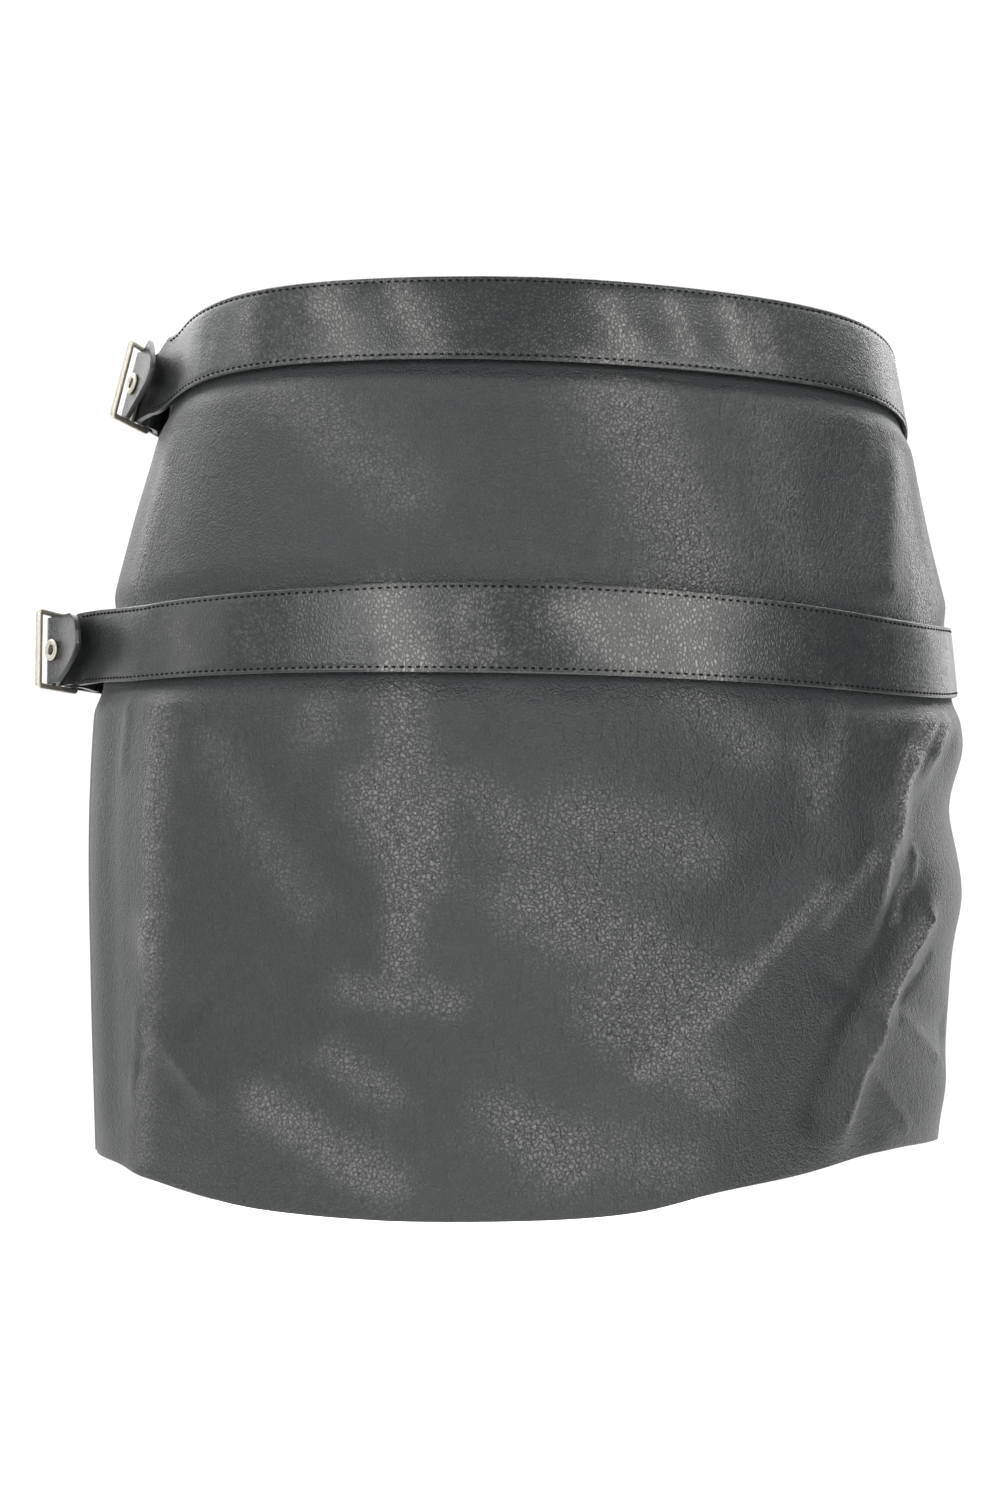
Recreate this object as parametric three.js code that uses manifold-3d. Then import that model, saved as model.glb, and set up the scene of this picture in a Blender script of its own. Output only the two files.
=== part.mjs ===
// A worn leather mini skirt with two buckled belts, hollow from waist to hem.
//
// Millimetres, +Z up. The origin is the centre of the waist opening, level with its top edge.
// The front of the skirt faces -Y, and the buckles are on the -X side.
// An angle goes round the skirt: 0 is +X, 90 is the middle of the front, 180 is -X, 270 the back.
// A height is a Z value, so the waist is 0 and the hem is below it.

import * as THREE from "three";
import { mergeVertices } from "three/addons/utils/BufferGeometryUtils.js";
import Module from "manifold-3d";

const { cos, sin, abs, sign, pow, exp, PI } = Math;

// Driving sizes
const LEATHER = 1.6;
const STRAP = 2.2;
const GAP = 0.3;
const WAIST_TOP = 0;
const WAIST_BOTTOM = -35;
const HIP_TOP = -117;
const HIP_BOTTOM = -146;
const HEM = -328.4;
const PANEL_TOP = -1.5;
const LEFT_SEAM = 168;
const RIGHT_SEAM = 2;
const FULL_TURN = 360;

const FRONT_COLUMNS = 42;
const BACK_COLUMNS = 34;
const UPPER_ROWS = 6;
const LOWER_ROWS = 13;
const FREE_STEPS = 9;
const BEND_STEPS = 7;
const TAB_STEPS = 6;
const RETURN_STEPS = 4;
const CORNER_STEPS = 5;
const EYELET_SIDES = 20;

// Buckles and eyelets
const BAR = 2.4;
const FRAME_HEIGHT = 32.6;
const FRAME_LENGTH = 25;
const FRAME_HEADING = 66;
const FRAME_CORNER = 3;
const WINDOW_CORNER = 0.6;
const BAR_SPACING = (FRAME_LENGTH - BAR) / 2;
const STRAP_AT_BUCKLE = 27.2;
const AROUND_BAR = BAR * Math.SQRT1_2 + GAP;
const LEAD_IN = 12;
const NARROW_FROM_BAR = 6;
const LIFT_FROM_BAR = 4;
const EYELET_RADIUS = 4.4;
const EYELET_HOLE = 2.2;
const EYELET_BARREL = 2.9;
const EYELET_FROM_BAR = 3.2;
const EYELET_CROWN = 0.9;
const EYELET_BEVEL = 0.4;
const HOLE_LENGTH = 2.4 * STRAP;

const table = (columns, rows) =>
  rows.map((row) => Object.fromEntries(columns.map((column, place) => [column, row[place]])));

// Half widths and half depths of the wall's outside at each height. "square" is the exponent
// of that quarter's superellipse, half way round it: 2 is an ellipse, more is squarer.
const SQUARE_AT_AXES = 2.05;
const SECTIONS = table(
  ["height", "left", "right", "front", "back", "squareLeft", "squareRight", "squareBack"],
  [
    [WAIST_TOP, 156, 155, 101, 97, 2.4, 2.4, 2.3],
    [WAIST_BOTTOM, 159.5, 160, 108.5, 105, 2.35, 2.42, 2.25],
    [-75, 169, 169, 115, 117, 2.15, 2.1, 2.2],
    [HIP_TOP, 178, 179, 120, 125, 2, 1.95, 2.15],
    [HIP_BOTTOM, 182, 181, 121, 128, 2, 1.95, 2.15],
    [-200, 183, 180, 123, 128, 2, 1.95, 2.1],
    [-265, 180, 175.5, 124, 124, 1.95, 1.85, 2.1],
    [-330, 176, 170, 123, 120, 1.95, 1.75, 2.05],
  ],
);

// How far the hem sits above its mean height, round the skirt.
const HEM_RISE = table(
  ["angle", "rise"],
  [
    [-20, 2], [10, 5], [26, 9], [41, 12], [57, 9.7], [71, 7.5], [82, 2.5], [94, 0.3],
    [125, -1.5], [138, 0.3], [152, 3.2], [165, 1.8], [180, -1], [225, -3], [270, -4],
    [315, -2], [340, 2], [370, 5],
  ],
);

// The belts' top and bottom edges. The hip belt rides up at the wearer's left and back.
const WAIST_EDGES = table(
  ["angle", "top", "bottom"],
  [
    [-12, WAIST_TOP, -33.5], [50, WAIST_TOP, -33.5], [85, WAIST_TOP, -33.8],
    [122, WAIST_TOP, -32.6], [150, WAIST_TOP, -31.8], [200, WAIST_TOP, -32],
    [270, WAIST_TOP, -33], [372, WAIST_TOP, -33.5],
  ],
);
const HIP_EDGES = table(
  ["angle", "top", "bottom"],
  [
    [-12, -110, -139], [13, -112.5, -141], [30, -116.5, -145.3], [45, -118.3, -147.2],
    [70, -117.2, -147.4], [90, -115.5, -147], [105, -115.5, -146.8], [122, -116.6, -146.4],
    [150, -116.6, -145.6], [168, -115.6, -144.4], [200, -112, -140.5], [270, -109, -138],
    [348, -110, -139], [373, -112.5, -141],
  ],
);

// The largest folds: soft ridges (rise above 0) and troughs (below 0), each along a straight
// line on the opened-out wall, in degrees round and millimetres of height.
const FOLDS = table(
  ["angle", "height", "endAngle", "endHeight", "halfWidth", "rise"],
  [
    [34, -152, 46, -196, 10, 3.2], [46, -196, 49, -232, 9, 2.6], [28, -150, 37, -172, 6, 1.8],
    [10, -187, 38, -191, 15, -3.6], [8, -161, 24, -163, 11, 1.8], [4, -226, 32, -222, 15, 2.6],
    [54, -207, 83, -280, 13, 3], [61, -205, 88, -262, 12, -1.8],
    [36, -232, 47, -272, 7, 3], [47, -272, 51, -305, 7, 2.4], [42, -226, 56, -296, 8, -2.4],
    [22, -276, 38, -262, 9, -2], [18, -300, 40, -312, 12, 1.5],
    [142, -152, 142, -240, 12, 2.6], [143, -240, 147, -322, 10, 2], [155, -160, 155, -300, 11, -1.6],
    [129, -174, 112, -236, 13, -1.8], [135, -262, 146, -284, 6, -1.6], [142, -275, 134, -293, 6, 1.5],
    [106, -158, 106, -236, 18, 1.4], [98, -156, 98, -206, 9, -1.2], [90, -178, 75, -203, 16, 1.5],
    [94, -218, 77, -252, 15, 1.5], [100, -254, 92, -290, 12, -1.6], [124, -292, 108, -314, 14, 1.6],
    [126, -50, 106, -86, 16, 1.2], [82, -52, 75, -104, 14, 1], [95, -56, 92, -100, 14, -0.9],
    [39, -60, 44, -104, 9, 1.6], [52, -58, 58, -100, 10, -1], [152, -58, 154, -102, 9, 1],
    [314, -158, 306, -232, 10, 2.8], [326, -166, 322, -240, 9, -2.2], [224, -158, 234, -226, 10, 2.6],
    [212, -170, 216, -250, 9, -2], [252, -214, 294, -220, 12, -2.2], [246, -190, 260, -196, 12, 1.2],
    [250, -262, 262, -318, 12, 2.2], [292, -258, 280, -318, 11, 2], [270, -250, 271, -316, 10, -2],
    [338, -262, 326, -312, 10, 2], [204, -262, 214, -318, 10, 2], [190, -190, 194, -290, 10, 1.6],
    [262, -60, 264, -100, 12, -1.2], [300, -58, 294, -100, 11, 1.2], [232, -58, 238, -100, 11, 1.2],
  ],
);
const FOLD_GIRTH = 150;
const FOLD_FADE = 11;
const CINCH = 2.5;

// Where each belt leaves the body, as a column of the front and of the back panel, and its
// buckle's middle bar. "lean" tips the buckle's top towards the body, in degrees. "ride" is how
// much higher the strap sits before it draws in to the buckle. The tab's lengths run from the
// middle bar, and its tip is "tabTipHeight" above the strap's middle.
const BELTS = {
  waist: {
    edges: WAIST_EDGES, leavesColumn: 38, arrivesColumn: 6, x: -166.4, y: -20.9, z: -19.6,
    lean: 15, strapHeading: 127, ride: 5.6, returned: 10,
    tabTop: 10, tabTip: 21.5, tabLow: 5, tabTipHeight: 4, tabFlare: 2, tabLift: 4.4,
  },
  hip: {
    edges: HIP_EDGES, leavesColumn: 37, arrivesColumn: 7, x: -196.6, y: -16.1, z: -129.2,
    lean: -1.5, strapHeading: 135, ride: 0, returned: 15,
    tabTop: 20.5, tabTip: 25.5, tabLow: 7, tabTipHeight: -2, tabFlare: 3, tabLift: -0.4,
  },
};

const LEATHER_LOOK = { color: 0x2e3133, roughness: 0.5, metalness: 0 };
const STRAP_LOOK = { color: 0x26292b, roughness: 0.42, metalness: 0 };
const METAL_LOOK = { color: 0xd6cfc0, roughness: 0.3, metalness: 1 };

const radians = (degrees) => (degrees * PI) / 180;
const mix = (a, b, share) => a + (b - a) * share;
const smooth = (share) => {
  const held = Math.min(1, Math.max(0, share));
  return held * held * (3 - 2 * held);
};

// A smooth curve through a table's rows, with straight ends.
function follow(rows, key, place, column) {
  const last = rows.length - 1;
  const forward = rows[last][key] > rows[0][key];
  let at = 0;
  while (at < last - 1 && (forward ? place > rows[at + 1][key] : place < rows[at + 1][key])) {
    at += 1;
  }
  const slope = (i) => {
    const low = Math.max(0, i - 1);
    const high = Math.min(last, i + 1);
    return (rows[high][column] - rows[low][column]) / (rows[high][key] - rows[low][key]);
  };
  const step = rows[at + 1][key] - rows[at][key];
  const s = (place - rows[at][key]) / step;
  const s2 = s * s;
  const s3 = s2 * s;
  return (
    (2 * s3 - 3 * s2 + 1) * rows[at][column] + (s3 - 2 * s2 + s) * step * slope(at) +
    (3 * s2 - 2 * s3) * rows[at + 1][column] + (s3 - s2) * step * slope(at + 1)
  );
}

// The plain wall with no folds.
function section(angle, height) {
  const turn = radians(angle);
  const c = cos(turn);
  const s = sin(turn);
  const at = (column) => follow(SECTIONS, "height", height, column);
  const halfWidth = c < 0 ? at("left") : at("right");
  const halfDepth = s >= 0 ? at("front") : at("back");
  const sideSquare = c < 0 ? at("squareLeft") : at("squareRight");
  const square = s >= 0 ? sideSquare : at("squareBack");
  const power = 2 / (SQUARE_AT_AXES + (square - SQUARE_AT_AXES) * (2 * s * c) ** 2);
  return new THREE.Vector3(
    halfWidth * sign(c) * pow(abs(c), power),
    -halfDepth * sign(s) * pow(abs(s), power),
    height,
  );
}

// A belt's top edge, middle and bottom edge.
function beltHeights(belt, angle) {
  const top = follow(belt.edges, "angle", angle, "top");
  const bottom = follow(belt.edges, "angle", angle, "bottom");
  return [top, (top + bottom) / 2, bottom];
}

// Under a belt the wall runs straight from the belt's top edge to its bottom edge.
function plainWall(angle, height) {
  for (const belt of Object.values(BELTS)) {
    const [top, , bottom] = beltHeights(belt, angle);
    if (height <= top && height >= bottom) {
      const share = (top - height) / (top - bottom);
      return section(angle, top).lerp(section(angle, bottom), share);
    }
  }
  return section(angle, height);
}

// How free the wall is of the belts, which hold it flat and pull it in: 0 under them.
function freedom(angle, height) {
  const [hipTop, , hipBottom] = beltHeights(BELTS.hip, angle);
  const [, , waistBottom] = beltHeights(BELTS.waist, angle);
  if (height < hipBottom) {
    return smooth((hipBottom - height) / FOLD_FADE);
  }
  return smooth((height - hipTop) / FOLD_FADE) * smooth((waistBottom - height) / FOLD_FADE);
}

function foldRise(angle, height) {
  let rise = 0;
  for (const fold of FOLDS) {
    const middle = (fold.angle + fold.endAngle) / 2;
    const turned = ((((angle - middle) % FULL_TURN) + FULL_TURN + 180) % FULL_TURN) - 180 + middle;
    const acrossX = radians(fold.endAngle - fold.angle) * FOLD_GIRTH;
    const acrossZ = fold.endHeight - fold.height;
    const fromX = radians(turned - fold.angle) * FOLD_GIRTH;
    const fromZ = height - fold.height;
    const along = (fromX * acrossX + fromZ * acrossZ) / (acrossX * acrossX + acrossZ * acrossZ);
    const held = Math.min(1, Math.max(0, along));
    const offX = fromX - held * acrossX;
    const offZ = fromZ - held * acrossZ;
    rise += fold.rise * exp(-(offX * offX + offZ * offZ) / (fold.halfWidth * fold.halfWidth));
  }
  return rise;
}

function plainNormal(angle, height) {
  const low = height - 0.5;
  const high = Math.min(height + 0.5, WAIST_TOP);
  const round = plainWall(angle + 0.2, height).sub(plainWall(angle - 0.2, height));
  const up = plainWall(angle, high).sub(plainWall(angle, low));
  return up.cross(round).normalize();
}

// A point of the wall, moved out by "out".
function wall(angle, height, out = 0) {
  const free = freedom(angle, height);
  const rise = free * foldRise(angle, height) - (1 - free) * CINCH;
  return plainWall(angle, height).addScaledVector(plainNormal(angle, height), rise + out);
}

// The angle that lies a small distance round the wall from another angle.
function stepRound(angle, height, distance) {
  const reach = plainWall(angle + 0.5, height).distanceTo(plainWall(angle - 0.5, height));
  return angle + distance / reach;
}

// One closed body from rings of points: each ring is a closed loop, and both ends are capped.
function bodyFromRings(rings) {
  const count = rings[0].length;
  const positions = rings.flat().flatMap((point) => [point.x, point.y, point.z]);
  const index = [];
  for (let ring = 0; ring < rings.length - 1; ring += 1) {
    for (let k = 0; k < count; k += 1) {
      const a = ring * count + k;
      const b = ring * count + ((k + 1) % count);
      index.push(a, a + count, b, b, a + count, b + count);
    }
  }
  const cap = (start, flip) => {
    // Opposite points of a flat ring are joined in pairs, as rungs.
    const half = count / 2;
    for (let k = 0; k < half - 1; k += 1) {
      const quad = [start + k, start + k + 1, start + count - 2 - k, start + count - 1 - k];
      const [p, q, r, s] = flip ? quad : quad.slice().reverse();
      index.push(p, q, r, p, r, s);
    }
  };
  cap(0, true);
  cap((rings.length - 1) * count, false);
  const geometry = new THREE.BufferGeometry();
  geometry.setAttribute("position", new THREE.Float32BufferAttribute(positions, 3));
  geometry.setIndex(index);
  return geometry;
}

const wasm = await Module();
wasm.setup();

function solid(geometry) {
  const bare = geometry.clone();
  bare.deleteAttribute("normal");
  bare.deleteAttribute("uv");
  const merged = mergeVertices(bare, 1e-4);
  return new wasm.Manifold(
    new wasm.Mesh({
      numProp: 3,
      vertProperties: new Float32Array(merged.attributes.position.array),
      triVerts: new Uint32Array(merged.index.array),
    }),
  );
}

function geometryOf(body) {
  const mesh = body.getMesh();
  const geometry = new THREE.BufferGeometry();
  geometry.setAttribute("position", new THREE.BufferAttribute(new Float32Array(mesh.vertProperties), 3));
  geometry.setIndex(new THREE.BufferAttribute(new Uint32Array(mesh.triVerts), 1));
  return geometry;
}

// Heights of a panel's rows from top to hem, with rows on the edges and middles of the belts.
function panelHeights(angle) {
  const hem = HEM + follow(HEM_RISE, "angle", angle, "rise");
  const [hipTop, hipMiddle, hipBottom] = beltHeights(BELTS.hip, angle);
  const [, waistMiddle, waistBottom] = beltHeights(BELTS.waist, angle);
  const heights = [PANEL_TOP, waistMiddle, waistBottom];
  for (let row = 1; row <= UPPER_ROWS; row += 1) {
    heights.push(mix(waistBottom, hipTop, row / UPPER_ROWS));
  }
  heights.push(hipMiddle, hipBottom);
  for (let row = 1; row <= LOWER_ROWS; row += 1) {
    heights.push(mix(hipBottom, hem, row / LOWER_ROWS));
  }
  return heights;
}

const columnAngles = (from, to, columns) =>
  Array.from({ length: columns + 1 }, (_, column) => mix(from, to, column / columns));

const FRONT_ANGLES = columnAngles(RIGHT_SEAM, LEFT_SEAM, FRONT_COLUMNS);
const BACK_ANGLES = columnAngles(LEFT_SEAM, RIGHT_SEAM + FULL_TURN, BACK_COLUMNS);

// A panel: its outside and inside walls, closed along all four edges.
function panel(angles) {
  const last = angles.length - 1;
  const rings = angles.map((angle, column) => {
    const heights = panelHeights(angle);
    const nudge = column === 0 ? GAP / 2 : column === last ? -GAP / 2 : 0;
    const place = (height, out) => {
      const nudged = nudge === 0 ? angle : stepRound(angle, height, nudge);
      return wall(nudged, height, out);
    };
    const outside = heights.map((height) => place(height, 0));
    const inside = heights.map((height) => place(height, -LEATHER)).reverse();
    return [...outside, ...inside];
  });
  return bodyFromRings(rings);
}

// A strap's ring: three rows on its face, top to bottom, and three on its other face.
// "face" is the side seen on the body, and "through" points from it to the other side.
const strapRing = (face, through) => [
  ...face,
  ...face.map((point, row) => point.clone().addScaledVector(through[row], STRAP)).reverse(),
];

// The rings of a belt that lies on the panel, at the panel's own columns.
function beltOnBody(belt, angles, seamColumn) {
  return angles.map((angle, column) => {
    const nudge = column !== seamColumn ? 0 : column === 0 ? GAP / 2 : -GAP / 2;
    const rows = beltHeights(belt, angle).map((height) => {
      const nudged = nudge === 0 ? angle : stepRound(angle, height, nudge);
      return { face: wall(nudged, height, GAP + STRAP), through: plainNormal(nudged, height).negate() };
    });
    return strapRing(rows.map((row) => row.face), rows.map((row) => row.through));
  });
}

// A smooth curve from one point and heading to another.
function hermite(from, fromHeading, to, toHeading, share) {
  const reach = from.distanceTo(to);
  const s2 = share * share;
  const s3 = s2 * share;
  return from.clone().multiplyScalar(2 * s3 - 3 * s2 + 1)
    .addScaledVector(fromHeading, (s3 - 2 * s2 + share) * reach)
    .addScaledVector(to, 3 * s2 - 2 * s3)
    .addScaledVector(toHeading, (s3 - s2) * reach);
}

// The part of a way that is square to an upright.
const squareTo = (up, way) => way.clone().addScaledVector(up, -way.dot(up)).normalize();

const plan = (degrees) => new THREE.Vector3(cos(radians(degrees)), sin(radians(degrees)), 0);

// The buckle's own directions: "along" from its free bar to its far bar, "up" and "side".
function buckleAxes(belt) {
  const along = plan(FRAME_HEADING);
  const inward = new THREE.Vector3(along.y, -along.x, 0);
  const up = new THREE.Vector3(0, 0, cos(radians(belt.lean))).addScaledVector(inward, sin(radians(belt.lean)));
  const middle = new THREE.Vector3(belt.x, belt.y, belt.z);
  return { along, inward, up, middle };
}

// The front belt's end: it leaves the body, passes inside the middle bar, folds round it
// and comes back outside as a pointed tab.
function frontBeltEnd(belt) {
  const { up, middle } = buckleAxes(belt);
  const heading = squareTo(up, plan(belt.strapHeading));
  const inward = heading.clone().cross(up);
  const innerRadius = AROUND_BAR;
  const rows = [STRAP_AT_BUCKLE / 2, belt.tabTipHeight, -STRAP_AT_BUCKLE / 2];
  const rings = [];

  const onBar = rows.map((v) => middle.clone().addScaledVector(up, v).addScaledVector(inward, innerRadius));
  const leaves = FRONT_ANGLES[belt.leavesColumn];
  const heights = beltHeights(belt, leaves);
  const spread = (heights[0] - heights[2]) / STRAP_AT_BUCKLE - 1;
  const leadIn = onBar.map((point, row) =>
    point.clone().addScaledVector(heading, -LEAD_IN).addScaledVector(up, spread * rows[row] + belt.ride),
  );
  for (let step = 1; step <= FREE_STEPS; step += 1) {
    const share = step / FREE_STEPS;
    const face = [];
    const through = [];
    heights.forEach((height, row) => {
      const start = wall(leaves, height, GAP + STRAP);
      const startNormal = plainNormal(leaves, height);
      const startHeading = wall(leaves + 0.5, height).sub(wall(leaves, height)).normalize();
      face.push(hermite(start, startHeading, leadIn[row], heading, share));
      through.push(startNormal.negate().lerp(inward, smooth(share)).normalize());
    });
    rings.push(strapRing(face, through));
  }
  const narrow = onBar.map((point) =>
    point.clone().addScaledVector(heading, -NARROW_FROM_BAR).addScaledVector(up, belt.ride / 3),
  );
  rings.push(strapRing(narrow, [inward, inward, inward]), strapRing(onBar, [inward, inward, inward]));

  for (let step = 1; step <= BEND_STEPS; step += 1) {
    const turn = (PI * step) / BEND_STEPS;
    const radial = inward.clone().multiplyScalar(cos(turn)).addScaledVector(heading, sin(turn));
    const face = rows.map((v) => middle.clone().addScaledVector(up, v).addScaledVector(radial, innerRadius));
    rings.push(strapRing(face, [radial, radial, radial]));
  }

  const lengths = [belt.tabTop, belt.tabTip, belt.tabLow];
  const outward = inward.clone().negate();
  for (let step = 1; step <= TAB_STEPS; step += 1) {
    const share = step / TAB_STEPS;
    const face = [];
    const through = [];
    rows.forEach((v, row) => {
      const along = lengths[row] * share;
      const flare = belt.tabFlare * (along / belt.tabTip) ** 2;
      const slope = (2 * belt.tabFlare * along) / belt.tabTip ** 2;
      const lifted = smooth((along - LIFT_FROM_BAR) / (belt.tabTop - LIFT_FROM_BAR));
      const lift = row === 0 ? belt.tabLift * lifted : 0;
      face.push(
        middle.clone().addScaledVector(up, v + lift).addScaledVector(outward, innerRadius + flare)
          .addScaledVector(heading, -along),
      );
      through.push(outward.clone().addScaledVector(heading, slope).normalize());
    });
    rings.push(strapRing(face, through));
  }
  return { rings, heading, outward, up, middle };
}

// The back belt's end: it folds round the buckle's far bar and is sewn down on its own inside.
function backBeltEnd(belt) {
  const { along, up, middle } = buckleAxes(belt);
  const bar = middle.clone().addScaledVector(along, BAR_SPACING);
  const arrives = BACK_ANGLES[belt.arrivesColumn];
  const heights = beltHeights(belt, arrives);
  const heading = squareTo(up, bar.clone().sub(plainWall(arrives, heights[1])));
  const outward = heading.clone().cross(up);
  const innerRadius = AROUND_BAR;
  const outerRadius = innerRadius + STRAP;
  const rows = [STRAP_AT_BUCKLE / 2, 0, -STRAP_AT_BUCKLE / 2];
  const rings = [];

  const onBar = rows.map((v) => bar.clone().addScaledVector(up, v).addScaledVector(outward, outerRadius));
  const leadIn = onBar.map((point) => point.clone().addScaledVector(heading, -belt.returned));
  for (let step = 1; step <= FREE_STEPS; step += 1) {
    const share = step / FREE_STEPS;
    const face = [];
    const through = [];
    heights.forEach((height, row) => {
      const start = wall(arrives, height, GAP + STRAP);
      const startNormal = plainNormal(arrives, height);
      const startHeading = wall(arrives - 0.5, height).sub(wall(arrives, height)).normalize();
      face.push(hermite(start, startHeading, leadIn[row], heading, share));
      through.push(startNormal.lerp(outward, smooth(share)).normalize().negate());
    });
    rings.push(strapRing(face, through));
  }
  const inward = outward.clone().negate();
  rings.push(strapRing(onBar, [inward, inward, inward]));

  for (let step = 1; step <= BEND_STEPS; step += 1) {
    const turn = (PI * step) / BEND_STEPS;
    const radial = outward.clone().multiplyScalar(cos(turn)).addScaledVector(heading, sin(turn));
    const face = rows.map((v) => bar.clone().addScaledVector(up, v).addScaledVector(radial, outerRadius));
    const through = radial.clone().negate();
    rings.push(strapRing(face, [through, through, through]));
  }

  // The turned-in end closes up on the strap's inside as it leaves the bar.
  for (let step = 1; step <= RETURN_STEPS; step += 1) {
    const share = step / RETURN_STEPS;
    const closing = smooth(share) * (2 * innerRadius - GAP);
    const face = rows.map((v) =>
      bar.clone().addScaledVector(up, v).addScaledVector(outward, closing - outerRadius)
        .addScaledVector(heading, -belt.returned * share),
    );
    rings.push(strapRing(face, [outward, outward, outward]));
  }
  return rings;
}

// A three-bar buckle frame cut from flat bar, standing on its belt.
function buckleFrame(belt) {
  const { along, up, middle } = buckleAxes(belt);
  const halfLength = FRAME_LENGTH / 2;
  const halfHeight = FRAME_HEIGHT / 2;
  const outline = roundedRectangle(new THREE.Shape(), 0, 0, halfLength, halfHeight, FRAME_CORNER);
  const windowHalf = (FRAME_LENGTH - 3 * BAR) / 4;
  for (const direction of [-1, 1]) {
    const centre = direction * (windowHalf + BAR / 2);
    outline.holes.push(
      roundedRectangle(new THREE.Path(), centre, 0, windowHalf, halfHeight - BAR, WINDOW_CORNER),
    );
  }
  const cut = { depth: BAR, bevelEnabled: false, curveSegments: CORNER_STEPS };
  const geometry = new THREE.ExtrudeGeometry(outline, cut);
  geometry.translate(0, 0, -BAR / 2);
  const turned = new THREE.Matrix4().makeBasis(along, up, along.clone().cross(up));
  geometry.applyMatrix4(turned.setPosition(middle));
  return geometryOf(solid(geometry));
}

function roundedRectangle(path, x, y, halfWidth, halfHeight, radius) {
  const right = x + halfWidth;
  const left = x - halfWidth;
  const top = y + halfHeight;
  const low = y - halfHeight;
  path.moveTo(left + radius, low);
  path.lineTo(right - radius, low);
  path.absarc(right - radius, low + radius, radius, -PI / 2, 0);
  path.lineTo(right, top - radius);
  path.absarc(right - radius, top - radius, radius, 0, PI / 2);
  path.lineTo(left + radius, top);
  path.absarc(left + radius, top - radius, radius, PI / 2, PI);
  path.lineTo(left, low + radius);
  path.absarc(left + radius, low + radius, radius, PI, 1.5 * PI);
  return path;
}

// The eyelet's place on the tab: its middle on the tab's outside, and the way it faces.
function eyeletPlace(belt, end) {
  const flare = belt.tabFlare * (EYELET_FROM_BAR / belt.tabTip) ** 2;
  const slope = (2 * belt.tabFlare * EYELET_FROM_BAR) / belt.tabTip ** 2;
  const facing = end.outward.clone().addScaledVector(end.heading, slope).normalize();
  const middle = end.middle.clone()
    .addScaledVector(end.outward, AROUND_BAR + flare)
    .addScaledVector(end.heading, -EYELET_FROM_BAR)
    .addScaledVector(facing, STRAP);
  return { middle, facing };
}

const turnTo = (facing) => new THREE.Quaternion().setFromUnitVectors(new THREE.Vector3(0, 1, 0), facing);

function eyelet({ middle, facing }) {
  const profile = [
    [EYELET_HOLE, -STRAP],
    [EYELET_BARREL, -STRAP],
    [EYELET_BARREL, GAP],
    [EYELET_RADIUS, GAP],
    [EYELET_RADIUS, GAP + EYELET_BEVEL],
    [EYELET_RADIUS - EYELET_CROWN, GAP + EYELET_CROWN],
    [EYELET_HOLE + EYELET_BEVEL, GAP + EYELET_CROWN],
    [EYELET_HOLE, GAP + EYELET_BEVEL],
    [EYELET_HOLE, -STRAP],
  ].map(([radius, height]) => new THREE.Vector2(radius, height));
  const geometry = new THREE.LatheGeometry(profile, EYELET_SIDES);
  geometry.applyQuaternion(turnTo(facing));
  geometry.translate(middle.x, middle.y, middle.z);
  return geometryOf(solid(geometry));
}

function holeForEyelet({ middle, facing }) {
  const radius = EYELET_BARREL + GAP;
  const geometry = new THREE.CylinderGeometry(radius, radius, HOLE_LENGTH, EYELET_SIDES);
  geometry.applyQuaternion(turnTo(facing));
  const centre = middle.clone().addScaledVector(facing, -STRAP / 2);
  geometry.translate(centre.x, centre.y, centre.z);
  return geometry;
}

const group = new THREE.Group();

function add(name, geometry, look) {
  geometry.computeVertexNormals();
  const mesh = new THREE.Mesh(geometry, new THREE.MeshStandardMaterial(look));
  mesh.name = name;
  group.add(mesh);
}

add("front_panel", panel(FRONT_ANGLES), LEATHER_LOOK);
add("back_panel", panel(BACK_ANGLES), LEATHER_LOOK);

for (const [name, belt] of Object.entries(BELTS)) {
  const end = frontBeltEnd(belt);
  const place = eyeletPlace(belt, end);
  const frontAngles = FRONT_ANGLES.slice(0, belt.leavesColumn + 1);
  const front = bodyFromRings([...beltOnBody(belt, frontAngles, 0), ...end.rings]);
  const cut = solid(front).subtract(solid(holeForEyelet(place)));
  add(`${name}_belt_front`, geometryOf(cut), STRAP_LOOK);

  const backAngles = BACK_ANGLES.slice(belt.arrivesColumn);
  const onBody = beltOnBody(belt, backAngles, backAngles.length - 1);
  const back = bodyFromRings([...backBeltEnd(belt).reverse(), ...onBody]);
  add(`${name}_belt_back`, geometryOf(solid(back)), STRAP_LOOK);

  add(`${name}_buckle`, buckleFrame(belt), METAL_LOOK);
  add(`${name}_eyelet`, eyelet(place), METAL_LOOK);
}

export default group;
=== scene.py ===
# The looks of a worn leather mini skirt with two buckled belts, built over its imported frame.
#
# Sizes below are in millimetres and become metres when they reach a mesh. An angle goes round
# the skirt in degrees: 0 is +X, 90 the middle of the front, 180 is -X and 270 the back. A height
# is a Z value: the waist is 0 and the hem is below it. The buckles are on the -X side.

import bpy
import numpy as np
from mathutils import Matrix, Vector


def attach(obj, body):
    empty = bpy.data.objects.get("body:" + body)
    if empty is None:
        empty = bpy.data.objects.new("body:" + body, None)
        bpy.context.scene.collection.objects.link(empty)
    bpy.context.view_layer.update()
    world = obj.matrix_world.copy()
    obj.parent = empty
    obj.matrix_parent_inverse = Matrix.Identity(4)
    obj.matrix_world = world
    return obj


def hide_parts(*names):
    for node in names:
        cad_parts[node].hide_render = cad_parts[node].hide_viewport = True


MM = 0.001

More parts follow.
